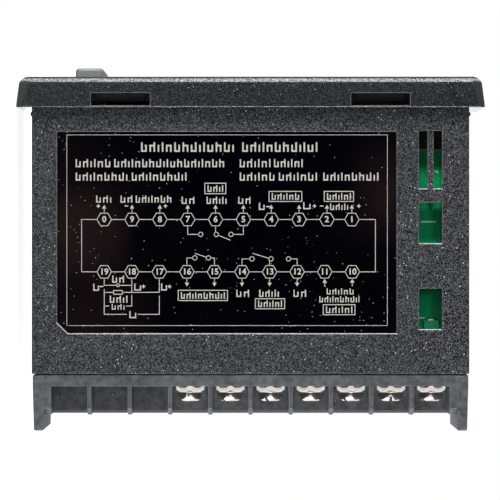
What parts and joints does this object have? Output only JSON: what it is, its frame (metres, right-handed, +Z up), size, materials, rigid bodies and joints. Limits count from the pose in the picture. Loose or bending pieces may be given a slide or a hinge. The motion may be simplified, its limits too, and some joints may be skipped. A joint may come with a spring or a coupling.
{
  "type": "temperature controller",
  "caption": "Upright panel-mounted temperature controller: flanged black case, smoked display window, grey keys, side vents and label, rear screw-terminal block with barrier ribs.",
  "frame": {"origin": "centre of the flange's rear face, the plane of the panel it is mounted in", "axes": "+Z up as mounted, -Y out of the front, +X to the right of someone who looks at the front"},
  "size_m": [0.048, 0.0744, 0.096],
  "materials": {
    "case_plastic": "black, spark-eroded grain",
    "block_plastic": "dark grey, smooth",
    "label_film": "black film, gloss",
    "panel_plastic": "black, fine satin",
    "smoked_window": "smoked, gloss",
    "green_board": "green solder mask",
    "brown_board": "brown laminate",
    "digit_module": "dark face with pale segments",
    "led_resin": "tinted resin",
    "chip_resin": "moulded",
    "switch_plastic": "moulded",
    "header_plastic": "moulded",
    "relay_case": "moulded",
    "ferrite": "sintered",
    "coil_tape": "yellow tape",
    "capacitor_sleeve": "shrunk sleeve",
    "tinned_brass": "tinned",
    "key_plastic": "grey, satin",
    "plated_steel": "nickel plated"
  },
  "bodies": {
    "case": {"contact_plates_left": "tinned_brass", "contact_plates_right": "tinned_brass", "display_board": "green_board", "display_window": "smoked_window", "front_panel": "panel_plastic", "header_left": "header_plastic", "header_right": "header_plastic", "housing": "case_plastic", "indicator_leds": "led_resin", "input_board": "green_board", "input_capacitor": "capacitor_sleeve", "input_chips": "chip_resin", "key_switches": "switch_plastic", "microcontroller": "chip_resin", "output_capacitor": "capacitor_sleeve", "power_board": "brown_board", "pv_display": "digit_module", "rating_label": "label_film", "relay_alarm_1": "relay_case", "relay_alarm_2": "relay_case", "relay_output": "relay_case", "sv_display": "digit_module", "terminal_block": "block_plastic", "transformer_core": "ferrite", "transformer_winding": "coil_tape"},
    "key_set_button": {"key_set": "key_plastic", "switch_plunger_1": "switch_plastic"},
    "key_shift_button": {"key_shift": "key_plastic", "switch_plunger_2": "switch_plastic"},
    "key_down_button": {"key_down": "key_plastic", "switch_plunger_3": "switch_plastic"},
    "key_up_button": {"key_up": "key_plastic", "switch_plunger_4": "switch_plastic"},
    "clamp_1": {"terminal_screw_1": "plated_steel"},
    "clamp_2": {"terminal_screw_2": "plated_steel"},
    "clamp_3": {"terminal_screw_3": "plated_steel"},
    "clamp_4": {"terminal_screw_4": "plated_steel"},
    "clamp_5": {"terminal_screw_5": "plated_steel"},
    "clamp_6": {"terminal_screw_6": "plated_steel"},
    "clamp_7": {"terminal_screw_7": "plated_steel"},
    "clamp_10": {"terminal_screw_10": "plated_steel"},
    "clamp_11": {"terminal_screw_11": "plated_steel"},
    "clamp_12": {"terminal_screw_12": "plated_steel"},
    "clamp_13": {"terminal_screw_13": "plated_steel"},
    "clamp_14": {"terminal_screw_14": "plated_steel"},
    "clamp_15": {"terminal_screw_15": "plated_steel"},
    "clamp_16": {"terminal_screw_16": "plated_steel"},
    "clamp_17": {"terminal_screw_17": "plated_steel"},
    "clamp_18": {"terminal_screw_18": "plated_steel"},
    "clamp_19": {"terminal_screw_19": "plated_steel"}
  },
  "joints": [
    {"name": "key_set_press", "type": "slide", "parent": "case", "child": "key_set_button", "axis": [0, 1, 0], "range_m": [0, 0.0005], "stiffness_N_per_m": 2000},
    {"name": "key_shift_press", "type": "slide", "parent": "case", "child": "key_shift_button", "axis": [0, 1, 0], "range_m": [0, 0.0005], "stiffness_N_per_m": 2000},
    {"name": "key_down_press", "type": "slide", "parent": "case", "child": "key_down_button", "axis": [0, 1, 0], "range_m": [0, 0.0005], "stiffness_N_per_m": 2000},
    {"name": "key_up_press", "type": "slide", "parent": "case", "child": "key_up_button", "axis": [0, 1, 0], "range_m": [0, 0.0005], "stiffness_N_per_m": 2000},
    {"name": "clamp_1_lift", "type": "slide", "parent": "case", "child": "clamp_1", "axis": [0, 1, 0], "range_m": [0, 0.0025]},
    {"name": "clamp_2_lift", "type": "slide", "parent": "case", "child": "clamp_2", "axis": [0, 1, 0], "range_m": [0, 0.0025]},
    {"name": "clamp_3_lift", "type": "slide", "parent": "case", "child": "clamp_3", "axis": [0, 1, 0], "range_m": [0, 0.0025]},
    {"name": "clamp_4_lift", "type": "slide", "parent": "case", "child": "clamp_4", "axis": [0, 1, 0], "range_m": [0, 0.0025]},
    {"name": "clamp_5_lift", "type": "slide", "parent": "case", "child": "clamp_5", "axis": [0, 1, 0], "range_m": [0, 0.0025]},
    {"name": "clamp_6_lift", "type": "slide", "parent": "case", "child": "clamp_6", "axis": [0, 1, 0], "range_m": [0, 0.0025]},
    {"name": "clamp_7_lift", "type": "slide", "parent": "case", "child": "clamp_7", "axis": [0, 1, 0], "range_m": [0, 0.0025]},
    {"name": "clamp_10_lift", "type": "slide", "parent": "case", "child": "clamp_10", "axis": [0, 1, 0], "range_m": [0, 0.0025]},
    {"name": "clamp_11_lift", "type": "slide", "parent": "case", "child": "clamp_11", "axis": [0, 1, 0], "range_m": [0, 0.0025]},
    {"name": "clamp_12_lift", "type": "slide", "parent": "case", "child": "clamp_12", "axis": [0, 1, 0], "range_m": [0, 0.0025]},
    {"name": "clamp_13_lift", "type": "slide", "parent": "case", "child": "clamp_13", "axis": [0, 1, 0], "range_m": [0, 0.0025]},
    {"name": "clamp_14_lift", "type": "slide", "parent": "case", "child": "clamp_14", "axis": [0, 1, 0], "range_m": [0, 0.0025]},
    {"name": "clamp_15_lift", "type": "slide", "parent": "case", "child": "clamp_15", "axis": [0, 1, 0], "range_m": [0, 0.0025]},
    {"name": "clamp_16_lift", "type": "slide", "parent": "case", "child": "clamp_16", "axis": [0, 1, 0], "range_m": [0, 0.0025]},
    {"name": "clamp_17_lift", "type": "slide", "parent": "case", "child": "clamp_17", "axis": [0, 1, 0], "range_m": [0, 0.0025]},
    {"name": "clamp_18_lift", "type": "slide", "parent": "case", "child": "clamp_18", "axis": [0, 1, 0], "range_m": [0, 0.0025]},
    {"name": "clamp_19_lift", "type": "slide", "parent": "case", "child": "clamp_19", "axis": [0, 1, 0], "range_m": [0, 0.0025]}
  ]
}
